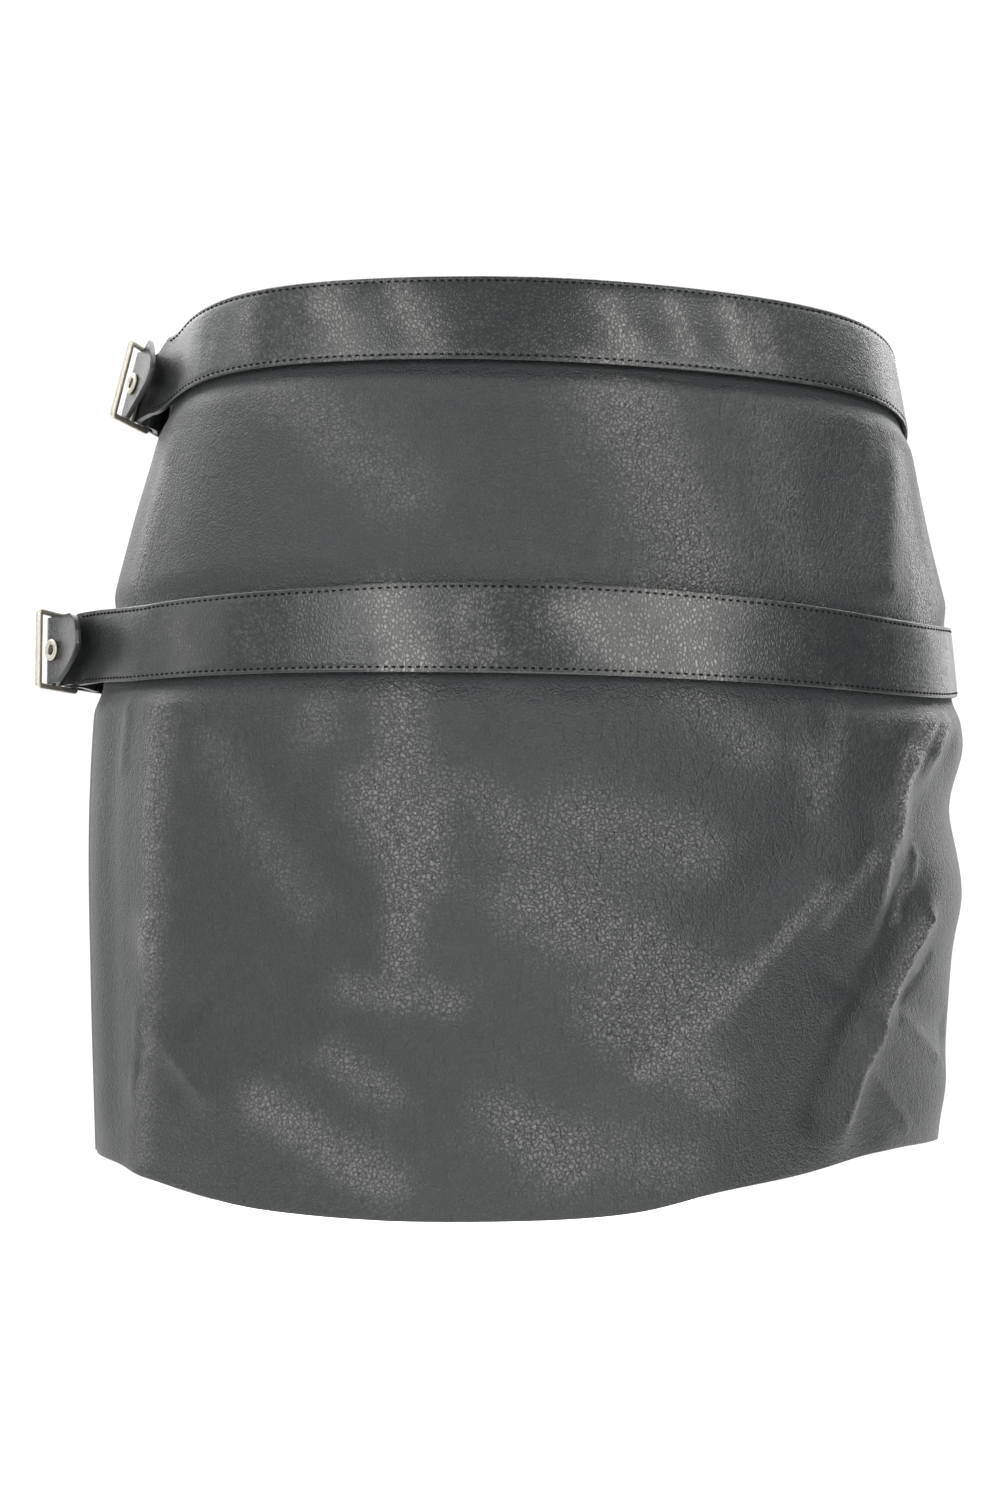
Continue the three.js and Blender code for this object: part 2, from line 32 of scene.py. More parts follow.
# Leather and straps
LEATHER = 1.5
STRAP = 2.0
CAD_STRAP = 2.2
GAP = 0.3
PANEL_TOP = -1.5
HEM = -328.4
RIGHT_SEAM = 2.0
LEFT_SEAM = 168.0
SEAM_HALF_GAP = 0.02
CINCH = 2.5
FOLD_GIRTH = 150.0
DEGREE_ROUND = np.radians(1) * FOLD_GIRTH
DEGREE_OF_SEAM = 2.6
FOLD_FADE = 11.0
SEAM_DIP = 1.1
SEAM_ROLL = 3.2
# The power that turns a place on the wall back into its angle, nearly enough for the painted
# sheen and painted shadow.
WALL_BEND = 1.08

FRONT_COLUMNS = 200
BACK_COLUMNS = 170
PANEL_ROWS = 140
FRONT_FREE_STEPS = 26
BACK_FREE_STEPS = 20
LEAD_IN_STEPS = 4
BEND_STEPS = 14
TAB_STEPS = 18
RETURN_STEPS = 8

# Stitching along both edges of each belt
STITCH_PITCH = 2.8
STITCH_LENGTH = 1.7
STITCH_WIDTH = 0.95

# Buckles and eyelets
BAR = 2.4
FRAME_HEIGHT = 32.6
FRAME_LENGTH = 25.0
FRAME_HEADING = 66.0
BAR_SPACING = (FRAME_LENGTH - BAR) / 2
STRAP_AT_BUCKLE = 27.2
AROUND_BAR = BAR * 0.5**0.5 + GAP
LEAD_IN = 12.0
NARROW_FROM_BAR = 6.0
LIFT_FROM_BAR = 4.0
EYELET_FROM_BAR = 3.2
EYELET_RADIUS = 4.4
EYELET_HOLE = 2.2
EYELET_BARREL = 2.9

# Half widths and half depths of the wall's outside by height: left, right, front, back, then
# how square each quarter is: 2 is an ellipse and more is squarer.
SQUARE_AT_AXES = 2.05
SECTIONS = np.array([
    [0, 156, 155, 101, 97, 2.4, 2.4, 2.3],
    [-35, 159.5, 160, 108.5, 105, 2.35, 2.42, 2.25],
    [-75, 169, 169, 115, 117, 2.15, 2.1, 2.2],
    [-117, 178, 179, 120, 125, 2, 1.95, 2.15],
    [-146, 182, 181, 121, 128, 2, 1.95, 2.15],
    [-200, 183, 180, 123, 128, 2, 1.95, 2.1],
    [-265, 180, 175.5, 124, 124, 1.95, 1.85, 2.1],
    [-330, 176, 170, 123, 120, 1.95, 1.75, 2.05],
])

# How far the hem sits above its mean height: angle, rise.
HEM_RISE = np.array([
    [-20, 2], [10, 5], [26, 9], [41, 12], [57, 9.7], [71, 7.5], [82, 2.5], [94, 0.3],
    [125, -1.5], [138, 0.3], [152, 3.2], [165, 1.8], [180, -1], [225, -3], [270, -4],
    [315, -2], [340, 2], [370, 5],
])

# The belts' edges: angle, top, bottom.
WAIST_EDGES = np.array([
    [-12, 0, -33.5], [50, 0, -33.5], [85, 0, -33.8], [122, 0, -32.6], [150, 0, -31.8],
    [200, 0, -32], [270, 0, -33], [372, 0, -33.5],
])
HIP_EDGES = np.array([
    [-12, -110, -139], [13, -112.5, -141], [30, -116.5, -145.3], [45, -118.3, -147.2],
    [70, -117.2, -147.4], [90, -115.5, -147], [105, -115.5, -146.8], [122, -116.6, -146.4],
    [150, -116.6, -145.6], [168, -115.6, -144.4], [200, -112, -140.5], [270, -109, -138],
    [348, -110, -139], [373, -112.5, -141],
])

# The largest folds, which the frame has too: angle, height, end angle, end height, half width
# and rise, which is above 0 on a ridge and below 0 in a trough.
FOLDS = np.array([
    [34, -152, 46, -196, 10, 3.2], [46, -196, 49, -232, 9, 2.6], [28, -150, 37, -172, 6, 1.8],
    [10, -187, 38, -191, 15, -3.6], [8, -161, 24, -163, 11, 1.8], [4, -226, 32, -222, 15, 2.6],
    [54, -207, 83, -280, 13, 3], [61, -205, 88, -262, 12, -1.8],
    [36, -232, 47, -272, 7, 3], [47, -272, 51, -305, 7, 2.4], [42, -226, 56, -296, 8, -2.4],
    [22, -276, 38, -262, 9, -2], [18, -300, 40, -312, 12, 1.5],
    [142, -152, 142, -240, 12, 2.6], [143, -240, 147, -322, 10, 2],
    [155, -160, 155, -300, 11, -1.6], [129, -174, 112, -236, 13, -1.8],
    [135, -262, 146, -284, 6, -1.6], [142, -275, 134, -293, 6, 1.5],
    [106, -158, 106, -236, 18, 1.4], [98, -156, 98, -206, 9, -1.2],
    [90, -178, 75, -203, 16, 1.5], [94, -218, 77, -252, 15, 1.5],
    [100, -254, 92, -290, 12, -1.6], [124, -292, 108, -314, 14, 1.6],
    [126, -50, 106, -86, 16, 1.2], [82, -52, 75, -104, 14, 1], [95, -56, 92, -100, 14, -0.9],
    [39, -60, 44, -104, 9, 1.6], [52, -58, 58, -100, 10, -1], [152, -58, 154, -102, 9, 1],
    [314, -158, 306, -232, 10, 2.8], [326, -166, 322, -240, 9, -2.2],
    [224, -158, 234, -226, 10, 2.6], [212, -170, 216, -250, 9, -2],
    [252, -214, 294, -220, 12, -2.2], [246, -190, 260, -196, 12, 1.2],
    [250, -262, 262, -318, 12, 2.2], [292, -258, 280, -318, 11, 2],
    [270, -250, 271, -316, 10, -2], [338, -262, 326, -312, 10, 2],
    [204, -262, 214, -318, 10, 2], [190, -190, 194, -290, 10, 1.6],
    [262, -60, 264, -100, 12, -1.2], [300, -58, 294, -100, 11, 1.2],
    [232, -58, 238, -100, 11, 1.2],
])

# Finer creases, with the same columns, that only the looks have. The first ones fan out of the
# hip belt at the wearer's left, the next lie by the other side, and the last are on the back.
CREASES = np.array([
    [35, -151, 42, -172, 3.2, 1.6], [42, -172, 47, -200, 3.2, 1.5], [47, -200, 48, -224, 3, 1],
    [29, -149, 36, -168, 2.6, 1.2], [24, -149, 30, -160, 2.6, 0.8], [53, -212, 59, -230, 3.4, 0.9],
    [39, -206, 42, -230, 2.6, 1], [42, -230, 46, -246, 2.6, 0.8],
    [36, -231, 44, -258, 2.8, 1.4], [44, -258, 48, -281, 2.4, 1.6], [48, -281, 51, -302, 2.4, 1.2],
    [38, -269, 26, -286, 2.2, 0.8], [26, -286, 22, -290, 2.2, 0.6], [46, -285, 36, -309, 2.2, 0.7],
    [55, -262, 46, -251, 4, 1], [60, -219, 72, -250, 4, 0.8], [72, -250, 83, -279, 4, 0.9],
    [57, -248, 47, -262, 3, -0.8], [33, -246, 39, -262, 3, -0.8],
    [136, -260, 145, -284, 2.2, 0.8], [141, -276, 134, -292, 2.2, 0.8],
    [135, -274, 138, -283, 2, 0.6], [146, -268, 148, -296, 2.6, 0.6],
    [138, -291, 139, -294, 3, -0.7], [131, -176, 125, -200, 4, 0.7],
    [125, -200, 116, -230, 5, 0.8], [113, -236, 108, -252, 4, 0.6],
    [100, -152, 99, -172, 3, 0.7], [96, -152, 97, -168, 3, -0.5], [118, -252, 108, -262, 4, 0.7],
    [112, -278, 106, -290, 4, 0.6], [88, -262, 82, -276, 4, 0.7], [150, -151, 151, -176, 3.6, 0.8],
    [137, -150, 135, -170, 3.2, 0.7], [122, -150, 118, -164, 4, 0.6], [78, -150, 76, -166, 4, 0.6],
    [62, -150, 60, -172, 4, 0.7], [112, -36, 106, -46, 4, 0.5], [104, -36, 99, -48, 3, 0.5],
    [316, -150, 311, -178, 3, 1.2], [311, -178, 307, -214, 3, 1], [326, -150, 322, -172, 3, 0.9],
    [226, -152, 230, -184, 3, 1.1], [230, -184, 235, -220, 3, 0.9], [216, -150, 220, -170, 3, 0.8],
    [256, -214, 290, -222, 3, -0.7], [248, -192, 262, -198, 3, 0.6], [252, -268, 261, -306, 3, 0.9],
    [290, -264, 282, -306, 3, 0.9], [336, -266, 328, -300, 3, 0.9], [206, -266, 212, -304, 3, 0.9],
    [276, -150, 275, -170, 4, 0.6], [262, -150, 263, -166, 4, 0.6], [300, -150, 298, -168, 4, 0.6],
])

# Where each belt leaves the body, its buckle's middle bar, and its tab's outline: the share
# across the strap from its top edge, and the length there from the middle bar. "ride" is how
# much higher the strap sits before it draws in to the buckle.
BELTS = {
    "waist": {
        "edges": WAIST_EDGES, "leaves": 152.19, "arrives": 202.588, "x": -166.4, "y": -20.9,
        "z": -19.6, "lean": 15, "strap_heading": 127, "ride": 5.6, "returned": 10,
        "tip": 21.5, "flare": 2, "lift": 4.4,
        "tab": np.array([
            [0, 8.8], [0.05, 11], [0.14, 14.8], [0.26, 19.2], [0.38, 21.4], [0.46, 20.6],
            [0.62, 15.5], [0.8, 9.6], [0.93, 6.2], [1, 4.6],
        ]),
    },
    "hip": {
        "edges": HIP_EDGES, "leaves": 148.238, "arrives": 208.353, "x": -196.6, "y": -16.1,
        "z": -129.2, "lean": -1.5, "strap_heading": 135, "ride": 0, "returned": 15,
        "tip": 25.5, "flare": 3, "lift": -0.4,
        "tab": np.array([
            [0, 18], [0.06, 20.8], [0.18, 23.6], [0.35, 25.4], [0.52, 25.5], [0.62, 23],
            [0.78, 16], [0.92, 9.5], [1, 6],
        ]),
    },
}

# Shares across a strap where its rows lie, closer together at its edges and its stitching.
STRAP_ROWS = np.array([0, 0.014, 0.034, 0.055, 0.078, 0.13, 0.22, 0.35, 0.5])
STRAP_ROWS = np.concatenate([STRAP_ROWS, 1 - STRAP_ROWS[-2::-1]])
# How far the strap's face stands out in those rows, to the middle.
STRAP_FACE = np.array([-0.3, -0.06, 0, -0.2, 0, 0.06, 0.1, 0.12, 0.12])
STRAP_FACE = np.concatenate([STRAP_FACE, STRAP_FACE[-2::-1]])

# Soft dents and raised places on the belts' faces: angle, height, half width, half height, rise.
BELT_MARKS = np.array([
    [84, -16, 5, 8, -0.3], [76, -15, 5, 8, -0.28], [125, -17, 1.2, 10, -0.35],
    [128, -17, 1.2, 10, -0.3], [144, -17, 1.2, 8, -0.2], [138, -17, 1.2, 8, -0.2],
    [134, -12, 2, 3, 0.25], [116, -17, 5, 9, 0.3], [104, -20, 7, 6, -0.2], [66, -16, 4, 12, 0.3],
    [94, -131, 6, 9, 0.2], [112, -131, 6, 10, 0.25], [70, -131, 7, 9, -0.2],
    [58, -132, 5, 9, 0.2], [126, -131, 3, 10, -0.2], [24, -129, 3, 10, 0.3],
    [250, -16, 6, 9, 0.2], [300, -17, 7, 9, -0.2], [255, -124, 6, 9, -0.2], [310, -124, 6, 9, 0.2],
])

# Patches of painted sheen, highlights painted pale into the leather's colour, with the columns of
# FOLDS: the last is how much. The rows are the front panel, its edges, the waist belt, the hip
# belt and then the back.
SHEEN_PATCHES = np.array([
    [107, -152, 105, -196, 9, 0.75], [105, -196, 106, -244, 6, 0.8], [116, -158, 117, -166, 9, 0.5],
    [110, -188, 104, -212, 10, 0.7], [99, -186, 95, -200, 7, 0.55], [112, -254, 101, -257, 6, 0.6],
    [114, -277, 108, -288, 7, 0.5], [124, -293, 108, -316, 9, 0.7], [96, -292, 90, -312, 8, 0.5],
    [88, -196, 78, -205, 13, 0.65], [92, -222, 78, -252, 14, 0.8], [86, -262, 74, -286, 10, 0.6],
    [78, -152, 70, -170, 10, 0.55], [62, -172, 60, -190, 7, 0.5], [92, -300, 78, -312, 10, 0.45],
    [141, -158, 142, -240, 7, 0.7], [143, -244, 146, -318, 6, 0.5], [132, -172, 118, -226, 8, 0.35],
    [126, -42, 108, -84, 14, 0.4], [84, -44, 76, -112, 17, 0.75], [66, -52, 62, -104, 12, 0.3],
    [36, -58, 33, -108, 11, 1], [24, -66, 27, -108, 8, 0.7], [152, -66, 154, -106, 9, 0.5],
    [36, -153, 42, -172, 3.4, 0.9], [42, -172, 47, -200, 4.4, 1], [47, -200, 48, -222, 3, 0.8],
    [30, -151, 36, -167, 2.8, 0.8], [51, -208, 59, -230, 4, 0.6], [60, -219, 72, -250, 4, 0.7],
    [72, -250, 83, -279, 4, 0.6], [37, -233, 44, -258, 3, 0.9], [44, -258, 48, -281, 2.6, 1],
    [48, -281, 51, -302, 2.6, 0.9], [41, -210, 42, -230, 3, 0.6], [14, -162, 10, -230, 3, 0.5],
    [56, -152, 58, -178, 6, 0.4],
    [121, -8, 117, -26, 9, 0.55], [110, -8, 107, -26, 9, 0.5], [85, -10, 83, -26, 6, 0.6],
    [77, -8, 75, -26, 5, 0.6], [69, -8, 67, -26, 5, 0.75], [64, -10, 63, -26, 5, 0.35],
    [134, -8, 134, -26, 5, 0.3], [22, -8, 20, -26, 6, 0.45], [40, -14, 38, -28, 8, 0.25],
    [109, -121, 106, -142, 9, 0.8], [88, -126, 84, -142, 9, 0.65], [80, -122, 76, -142, 9, 0.65],
    [100, -124, 98, -142, 7, 0.3], [31, -116, 28, -142, 5, 0.75], [19, -116, 18, -138, 4, 0.35],
    [142, -122, 138, -140, 7, 0.25], [248, -10, 254, -24, 14, 0.45], [288, -10, 294, -24, 12, 0.45],
    [246, -118, 252, -132, 13, 0.45], [286, -118, 292, -132, 13, 0.45],
    [258, -166, 250, -214, 19, 0.45], [290, -176, 298, -226, 18, 0.45],
    [264, -262, 272, -300, 20, 0.4], [311, -166, 306, -226, 9, 0.4], [226, -166, 233, -222, 9, 0.4],
    [256, -54, 264, -96, 20, 0.4], [292, -50, 284, -96, 19, 0.35], [330, -56, 334, -104, 12, 0.4],
    [208, -56, 204, -104, 12, 0.35], [206, -272, 214, -312, 10, 0.35], [336, -270, 328, -306, 10, 0.35],
])
SHADOW_DEPTH = 2.6

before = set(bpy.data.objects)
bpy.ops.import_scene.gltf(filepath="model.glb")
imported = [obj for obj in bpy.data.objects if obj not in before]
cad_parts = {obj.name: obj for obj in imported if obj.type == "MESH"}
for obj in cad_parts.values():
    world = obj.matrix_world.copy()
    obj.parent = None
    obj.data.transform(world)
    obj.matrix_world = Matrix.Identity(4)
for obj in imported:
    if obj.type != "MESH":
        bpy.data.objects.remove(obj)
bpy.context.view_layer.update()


# Form


def smooth(share):
    held = np.clip(share, 0, 1)
    return held * held * (3 - 2 * held)


def follow(rows, place, column):
    """A smooth curve through a table's rows, read at the places given."""
    keys = rows[:, 0]
    values = rows[:, column]
    last = len(keys) - 1
    low = np.maximum(np.arange(last + 1) - 1, 0)
    high = np.minimum(np.arange(last + 1) + 1, last)
    slopes = (values[high] - values[low]) / (keys[high] - keys[low])
    order = 1 if keys[-1] > keys[0] else -1
    at = np.clip(np.searchsorted(order * keys, order * np.asarray(place, float)) - 1, 0, last - 1)
    step = keys[at + 1] - keys[at]
    s = (place - keys[at]) / step
    return (
        (2 * s**3 - 3 * s**2 + 1) * values[at]
        + (s**3 - 2 * s**2 + s) * step * slopes[at]
        + (3 * s**2 - 2 * s**3) * values[at + 1]
        + (s**3 - s**2) * step * slopes[at + 1]
    )


def section(angle, height):
    """The plain wall's outside, as a superellipse at each height."""
    angle, height = np.broadcast_arrays(np.asarray(angle, float), np.asarray(height, float))
    left, right, front, back, square_left, square_right, square_back = (
        follow(SECTIONS, height, column) for column in range(1, 8)
    )
    c = np.cos(np.radians(angle))
    s = np.sin(np.radians(angle))
    half_width = np.where(c < 0, left, right)
    half_depth = np.where(s >= 0, front, back)
    square = np.where(s >= 0, np.where(c < 0, square_left, square_right), square_back)
    power = 2 / (SQUARE_AT_AXES + (square - SQUARE_AT_AXES) * (2 * s * c) ** 2)
    x = half_width * np.sign(c) * np.abs(c) ** power
    y = -half_depth * np.sign(s) * np.abs(s) ** power
    return np.stack([x, y, height + 0 * x], -1)


def edges(belt, angle):
    return follow(belt["edges"], angle, 1), follow(belt["edges"], angle, 2)


def plain_wall(angle, height):
    """The wall with no folds. Under a belt it runs straight between the belt's edges."""
    angle, height = np.broadcast_arrays(np.asarray(angle, float), np.asarray(height, float))
    points = section(angle, height)
    for belt in BELTS.values():
        top, bottom = edges(belt, angle)
        share = ((top - height) / (top - bottom))[..., None]
        straight = section(angle, top) * (1 - share) + section(angle, bottom) * share
        under = (height <= top) & (height >= bottom)
        points = np.where(under[..., None], straight, points)
    return points


def unit(vectors):
    return vectors / np.linalg.norm(vectors, axis=-1, keepdims=True)


def plain_normal(angle, height):
    high = np.minimum(height + 0.5, 0)
    across = plain_wall(angle + 0.2, height) - plain_wall(angle - 0.2, height)
    up = plain_wall(angle, high) - plain_wall(angle, height - 0.5)
    return unit(np.cross(up, across))


def freedom(angle, height):
    """How free the wall is of the belts, which hold it flat and pull it in: 0 under them."""
    waist_bottom = edges(BELTS["waist"], angle)[1]
    hip_top, hip_bottom = edges(BELTS["hip"], angle)
    above = smooth((height - hip_top) / FOLD_FADE) * smooth((waist_bottom - height) / FOLD_FADE)
    return np.where(height < hip_bottom, smooth((hip_bottom - height) / FOLD_FADE), above)


def fold_rise(table, angle, height):
    rise = 0
    for start, start_height, end, end_height, half_width, most in table:
        middle = (start + end) / 2
        turned = (angle - middle + 180) % 360 - 180 + middle
        across = np.radians(end - start) * FOLD_GIRTH
        down = end_height - start_height
        from_x = np.radians(turned - start) * FOLD_GIRTH
        from_z = height - start_height
        along = np.clip((from_x * across + from_z * down) / (across**2 + down**2), 0, 1)
        off = (from_x - along * across) ** 2 + (from_z - along * down) ** 2
        rise = rise + most * np.exp(-off / half_width**2)
    return rise


def wall(angle, height, out=0):
    """A point of the wall, moved out by "out"."""
    free = freedom(angle, height)
    folds = fold_rise(FOLDS, angle, height) + fold_rise(CREASES, angle, height)
    rise = free * folds - (1 - free) * CINCH + out
    return plain_wall(angle, height) + plain_normal(angle, height) * rise[..., None]


def angle_at(points):
    """The angle round the skirt of points on or near its wall."""
    x, y, height = points.T
    level = np.clip(height, HEM, 0)
    width = np.where(x < 0, follow(SECTIONS, level, 1), follow(SECTIONS, level, 2))
    depth = np.where(y < 0, follow(SECTIONS, level, 3), follow(SECTIONS, level, 4))
    across = np.sign(x) * (np.abs(x) / width) ** WALL_BEND
    out = -np.sign(y) * (np.abs(y) / depth) ** WALL_BEND
    return np.degrees(np.arctan2(out, across)) % 360


# Meshes


def alone(obj):
    bpy.ops.object.select_all(action="DESELECT")
    obj.select_set(True)
    bpy.context.view_layer.objects.active = obj


def named(name):
    obj = bpy.context.active_object
    obj.name = name
    obj.data.name = name
    return obj


def modify(obj, kind, **settings):
    """Adds a modifier and applies it."""
    alone(obj)
    modifier = obj.modifiers.new(kind.lower(), kind)
    for key, value in settings.items():
        setattr(modifier, key, value)
    bpy.ops.object.modifier_apply(modifier=modifier.name)


def shade(obj, angle=40):
    alone(obj)
    bpy.ops.object.shade_smooth_by_angle(angle=np.radians(angle))


def bent_sheet(name, points):
    """A grid shaped to an array of points: along its first axis, then top to bottom."""
    along, across = points.shape[:2]
    bpy.ops.object.select_all(action="DESELECT")
    bpy.ops.mesh.primitive_grid_add(x_subdivisions=across - 1, y_subdivisions=along - 1, size=1)
    obj = named(name)
    obj.data.vertices.foreach_set("co", (points * MM).astype(np.float32).ravel())
    obj.data.flip_normals()
    return obj


def thickened(obj, thickness, rounding):
    modify(obj, "SOLIDIFY", thickness=thickness * MM, offset=-1, use_even_offset=True)
    modify(
        obj, "BEVEL", width=rounding * MM, segments=2, limit_method="ANGLE",
        angle_limit=np.radians(50), use_clamp_overlap=True,
    )
    shade(obj)


def keep_painted_light(obj, shadow_under_belts):
    """Keeps on each point its painted sheen and shadow: 0 is none, 1 is the palest painted highlight,
    and below 0 painted shadow.
    """
    points = np.empty(len(obj.data.vertices) * 3, np.float32)
    obj.data.vertices.foreach_get("co", points)
    points = points.reshape(-1, 3) / MM
    angle = angle_at(points)
    height = points[:, 2]
    sheen_and_shadow = np.clip(fold_rise(SHEEN_PATCHES, angle, height), 0, 1)
    # Painted shadow: the leather is drawn darker just under each belt's lower edge.
    if shadow_under_belts:
        for belt in BELTS.values():
            below = edges(belt, angle)[1] - height
            sheen_and_shadow = sheen_and_shadow - 1.6 * np.exp(-((below / SHADOW_DEPTH) ** 2))
    attribute = obj.data.attributes.new("sheen_and_shadow", "FLOAT", "POINT")
    attribute.data.foreach_set("value", np.clip(sheen_and_shadow, -1, 1).astype(np.float32))


def panel(name, start, end, columns):
    """One panel from seam to seam, waist to hem, with its edges rolled in at the seams."""
    angle = np.linspace(start, end, columns + 1)[:, None]
    share = np.linspace(0, 1, PANEL_ROWS + 1)[None, :]
    height = PANEL_TOP + (HEM + follow(HEM_RISE, angle, 1) - PANEL_TOP) * share
    angle = angle + height * 0
    nudge = np.where(angle == start, 1, np.where(angle == end, -1, 0))
    nudge = nudge * SEAM_HALF_GAP / DEGREE_ROUND
    from_seam = np.minimum(angle - start, end - angle) * DEGREE_ROUND
    roll = -SEAM_DIP * np.exp(-((from_seam / SEAM_ROLL) ** 2)) * freedom(angle, height)
    obj = bent_sheet(name, wall(angle + nudge, height, roll))
    thickened(obj, LEATHER, 0.4)
    return obj


# Straps


def plan(degrees):
    return np.array([np.cos(np.radians(degrees)), np.sin(np.radians(degrees)), 0])


def buckle_axes(belt):
    along = plan(FRAME_HEADING)
    inward = np.array([along[1], -along[0], 0])
    lean = np.radians(belt["lean"])
    up = np.array([0, 0, np.cos(lean)]) + inward * np.sin(lean)
    return along, up, np.array([belt["x"], belt["y"], belt["z"]])


def square_to(up, way):
    return unit(way - up * np.dot(way, up))


def marks(angle, height):
    rise = 0
    for middle, level, half_width, half_height, most in BELT_MARKS:
        x = (angle - middle) / half_width
        z = (height - level) / half_height
        rise = rise + most * np.exp(-(x**4) - z**4)
    return rise


def strap_on_body(belt, angles):
    """The face of a belt where it lies on the wall, and the way into it."""
    angle = angles[:, None] + STRAP_ROWS[None, :] * 0
    top, bottom = edges(belt, angle)
    height = top + (bottom - top) * STRAP_ROWS[None, :]
    normal = plain_normal(angle, height)
    out = GAP + CAD_STRAP - CINCH + STRAP_FACE[None, :] + marks(angle, height)
    return plain_wall(angle, height) + normal * out[..., None], -normal


def hermite(start, start_way, end, end_way, share):
    reach = np.linalg.norm(end - start, axis=-1, keepdims=True)
    s2 = share * share
    s3 = s2 * share
    return (
        start * (2 * s3 - 3 * s2 + 1)
        + start_way * (s3 - 2 * s2 + share) * reach
        + end * (3 * s2 - 2 * s3)
        + end_way * (s3 - s2) * reach
    )


def free_run(start, start_way, start_through, end, end_way, end_through, steps):
    """A strap's free part, between where it leaves the body and its buckle."""
    rows = []
    for step in range(1, steps + 1):
        share = step / steps
        face = hermite(start, start_way, end, end_way, share)
        through = unit(start_through + (end_through - start_through) * smooth(share))
        rows.append((face, through))
    return rows


def front_strap_end(belt):
    """The front belt's end: inside the middle bar, round it, and back outside as a tab."""
    _, up, middle = buckle_axes(belt)
    heading = square_to(up, plan(belt["strap_heading"]))
    inward = np.cross(heading, up)
    level = (STRAP_AT_BUCKLE * (0.5 - STRAP_ROWS))[:, None]
    angle = np.full(len(STRAP_ROWS), belt["leaves"])
    start, start_through = (part[0] for part in strap_on_body(belt, angle[:1]))
    start_way = unit(strap_on_body(belt, angle[:1] + 0.5)[0][0] - start)
    top, bottom = edges(belt, angle[:1])
    on_bar = middle + up * level + inward * AROUND_BAR
    spread = (top[0] - bottom[0]) / STRAP_AT_BUCKLE - 1
    lead_in = on_bar - heading * LEAD_IN + up * (level * spread + belt["ride"])
    narrow = on_bar - heading * NARROW_FROM_BAR + up * belt["ride"] / 3
    rows = free_run(start, start_way, start_through, lead_in, heading, inward, FRONT_FREE_STEPS)
    for share in np.linspace(0, 1, LEAD_IN_STEPS + 1)[1:]:
        rows.append((lead_in + (narrow - lead_in) * share, inward))
    rows.append(((narrow + on_bar) / 2, inward))
    rows.append((on_bar, inward))
    for turn in np.linspace(0, np.pi, BEND_STEPS + 1)[1:]:
        radial = inward * np.cos(turn) + heading * np.sin(turn)
        rows.append((middle + up * level + radial * AROUND_BAR, radial))
    length = follow(belt["tab"], STRAP_ROWS, 1)[:, None]
    raised = np.clip(1 - 2 * STRAP_ROWS, 0, 1)[:, None]
    for share in np.linspace(0, 1, TAB_STEPS + 1)[1:]:
        reach = length * share
        flare = belt["flare"] * (reach / belt["tip"]) ** 2
        slope = 2 * belt["flare"] * reach / belt["tip"] ** 2
        lifted = smooth((reach - LIFT_FROM_BAR) / (length[0] - LIFT_FROM_BAR))
        lift = belt["lift"] * lifted * raised
        face = middle + up * (level + lift) - inward * (AROUND_BAR + flare) - heading * reach
        rows.append((face, unit(-inward + heading * slope)))
    return rows


def back_strap_end(belt):
    """The back belt's end: round the buckle's far bar, then down on its own inside."""
    along, up, middle = buckle_axes(belt)
    bar = middle + along * BAR_SPACING
    level = (STRAP_AT_BUCKLE * (0.5 - STRAP_ROWS))[:, None]
    angle = np.array([belt["arrives"]])
    start, start_through = (part[0] for part in strap_on_body(belt, angle))
    start_way = unit(strap_on_body(belt, angle - 0.5)[0][0] - start)
    heading = square_to(up, bar - plain_wall(angle, np.mean(edges(belt, angle), axis=0))[0])
    outward = np.cross(heading, up)
    outer = AROUND_BAR + CAD_STRAP
    on_bar = bar + up * level + outward * outer
    lead_in = on_bar - heading * belt["returned"]
    rows = free_run(start, start_way, start_through, lead_in, heading, -outward, BACK_FREE_STEPS)
    rows.append((on_bar - heading * belt["returned"] / 2, -outward))
    rows.append((on_bar, -outward))
    for turn in np.linspace(0, np.pi, BEND_STEPS + 1)[1:]:
        radial = outward * np.cos(turn) + heading * np.sin(turn)
        rows.append((bar + up * level + radial * outer, -radial))
    for share in np.linspace(0, 1, RETURN_STEPS + 1)[1:]:
        closing = smooth(share) * (2 * AROUND_BAR - GAP)
        face = bar + up * level + outward * (closing - outer) - heading * belt["returned"] * share
        rows.append((face, outward))
    return rows


def whole_strap(on_body, end_rows):
    """A belt piece's face and the ways into it, from its seam to its buckle."""
    faces, throughs = on_body
    faces = np.concatenate([faces, np.array([row[0] for row in end_rows])])
    throughs = np.concatenate([
        throughs,
        np.array([row[1] + 0 * row[0] for row in end_rows]),
    ])
    return faces, throughs


def show_strap(name, faces, flip):
    obj = bent_sheet(name, faces[::-1] if flip else faces)
    thickened(obj, STRAP, 0.5)
    return obj


def stitch_places(faces, throughs, stations):
    """Where stitches go along both edges of a strap, as matrices in metres."""
    places = []
    for row in (3, len(STRAP_ROWS) - 4):
        line = faces[:stations, row]
        outward = -throughs[:stations, row]
        steps = np.linalg.norm(np.diff(line, axis=0), axis=1)
        lengths = np.concatenate([[0], np.cumsum(steps)])
        for at in np.arange(STITCH_PITCH, lengths[-1] - STITCH_PITCH, STITCH_PITCH):
            before = np.array([np.interp(at - 0.5, lengths, line[:, k]) for k in range(3)])
            after = np.array([np.interp(at + 0.5, lengths, line[:, k]) for k in range(3)])
            normal = np.array([np.interp(at, lengths, outward[:, k]) for k in range(3)])
            along = unit(after - before)
            normal = square_to(along, normal)
            across = np.cross(normal, along)
            middle = ((before + after) / 2 + normal * 0.08) * MM
            places.append(Matrix((
                (along[0], across[0], normal[0], middle[0]),
                (along[1], across[1], normal[1], middle[1]),
                (along[2], across[2], normal[2], middle[2]),
                (0, 0, 0, 1),
            )))
    return places


